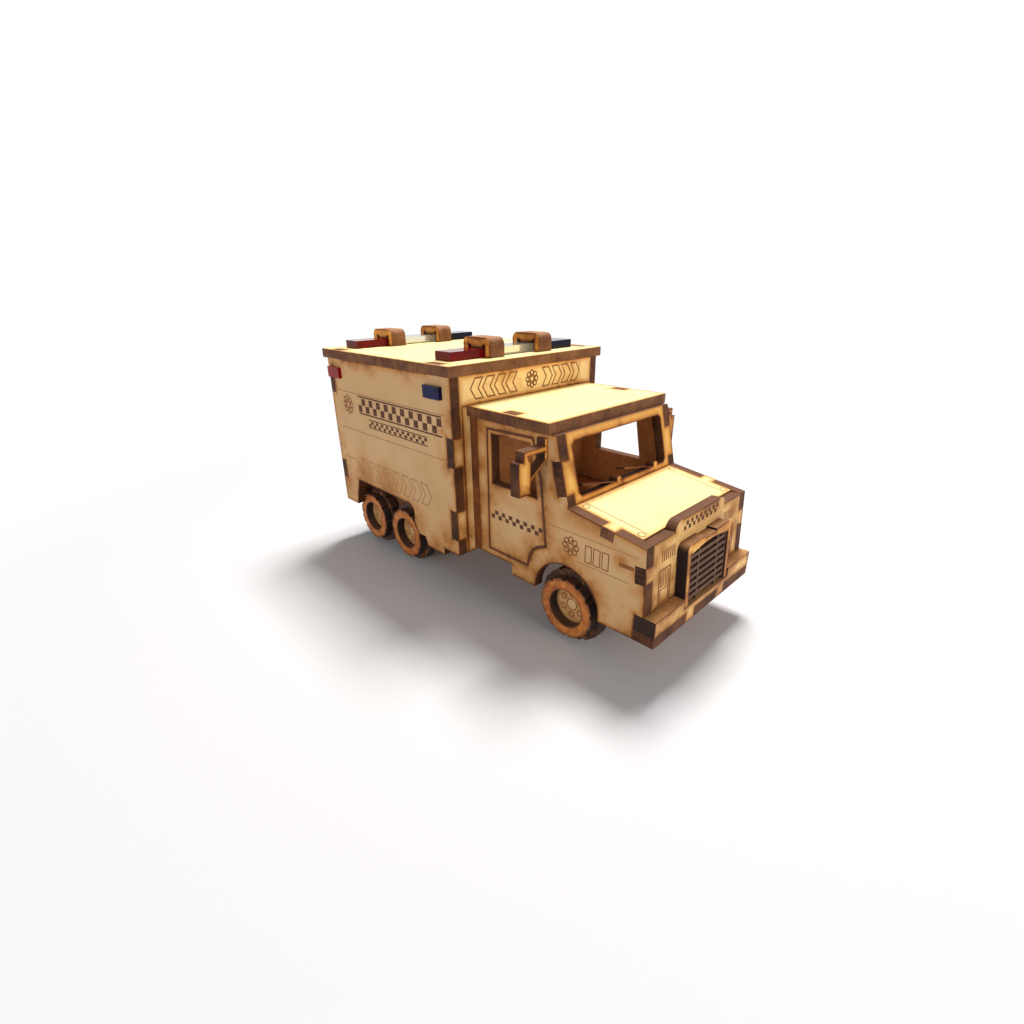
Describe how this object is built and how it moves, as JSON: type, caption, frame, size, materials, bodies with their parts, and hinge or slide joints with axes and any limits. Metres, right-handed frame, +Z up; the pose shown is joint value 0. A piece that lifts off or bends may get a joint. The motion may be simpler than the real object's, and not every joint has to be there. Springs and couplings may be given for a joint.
{
  "type": "laser-cut wooden model ambulance",
  "caption": "Tabletop model ambulance of interlocking 3 mm wood panels: hollow cab, square rear box, slotted grille, acrylic roof light bars and lobed wheels that turn on dowel axles.",
  "frame": {"origin": "bottom centre of the whole model, on the table", "axes": "+X forwards, +Y to the vehicle's left, +Z up"},
  "size_m": [0.1412, 0.075, 0.0817],
  "materials": {
    "panel_wood": "matte, scorched along cut edges",
    "wheel_wood": "matte, darker from the laser",
    "dowel_wood": "matte dowel",
    "acrylic_red": "glossy tinted sheet",
    "acrylic_blue": "glossy tinted sheet",
    "acrylic_clear": "clear acrylic"
  },
  "bodies": {
    "body": {"box_floor": "panel_wood", "box_front_wall": "panel_wood", "box_rear_wall": "panel_wood", "box_roof": "panel_wood", "box_side_left": "panel_wood", "box_side_right": "panel_wood", "bumper_front_layer": "panel_wood", "bumper_rear_layer": "panel_wood", "cab_back_wall": "panel_wood", "cab_floor": "panel_wood", "cab_roof": "panel_wood", "cab_side_left": "panel_wood", "cab_side_right": "panel_wood", "front_axle_bearers": "panel_wood", "front_bar_brackets": "panel_wood", "front_bar_lamp_blue": "acrylic_blue", "front_bar_lamp_clear": "acrylic_clear", "front_bar_lamp_red": "acrylic_red", "front_plate": "panel_wood", "grille_frame": "panel_wood", "grille_louvres": "panel_wood", "hood_panel": "panel_wood", "marker_lamps_blue": "acrylic_blue", "marker_lamps_red": "acrylic_red", "mirror_left": "panel_wood", "mirror_right": "panel_wood", "nose_panel": "panel_wood", "rear_axle_bearers": "panel_wood", "rear_bar_brackets": "panel_wood", "rear_bar_lamp_blue": "acrylic_blue", "rear_bar_lamp_clear": "acrylic_clear", "rear_bar_lamp_red": "acrylic_red", "windscreen_frame": "panel_wood"},
    "front_axle": {"front_axle_dowel": "dowel_wood", "front_wheel_core_left": "wheel_wood", "front_wheel_core_right": "wheel_wood", "front_wheel_ring_left": "wheel_wood", "front_wheel_ring_right": "wheel_wood"},
    "middle_axle": {"middle_axle_dowel": "dowel_wood", "middle_wheel_core_left": "wheel_wood", "middle_wheel_core_right": "wheel_wood", "middle_wheel_ring_left": "wheel_wood", "middle_wheel_ring_right": "wheel_wood"},
    "rear_axle": {"rear_axle_dowel": "dowel_wood", "rear_wheel_core_left": "wheel_wood", "rear_wheel_core_right": "wheel_wood", "rear_wheel_ring_left": "wheel_wood", "rear_wheel_ring_right": "wheel_wood"}
  },
  "joints": [
    {"name": "front_axle_spin", "type": "hinge", "parent": "body", "child": "front_axle", "pos_m": [0.04205, 0, 0.0112], "axis": [0, 1, 0], "continuous": true},
    {"name": "middle_axle_spin", "type": "hinge", "parent": "body", "child": "middle_axle", "pos_m": [-0.03295, 0, 0.0112], "axis": [0, 1, 0], "continuous": true},
    {"name": "rear_axle_spin", "type": "hinge", "parent": "body", "child": "rear_axle", "pos_m": [-0.05595, 0, 0.0112], "axis": [0, 1, 0], "continuous": true}
  ]
}
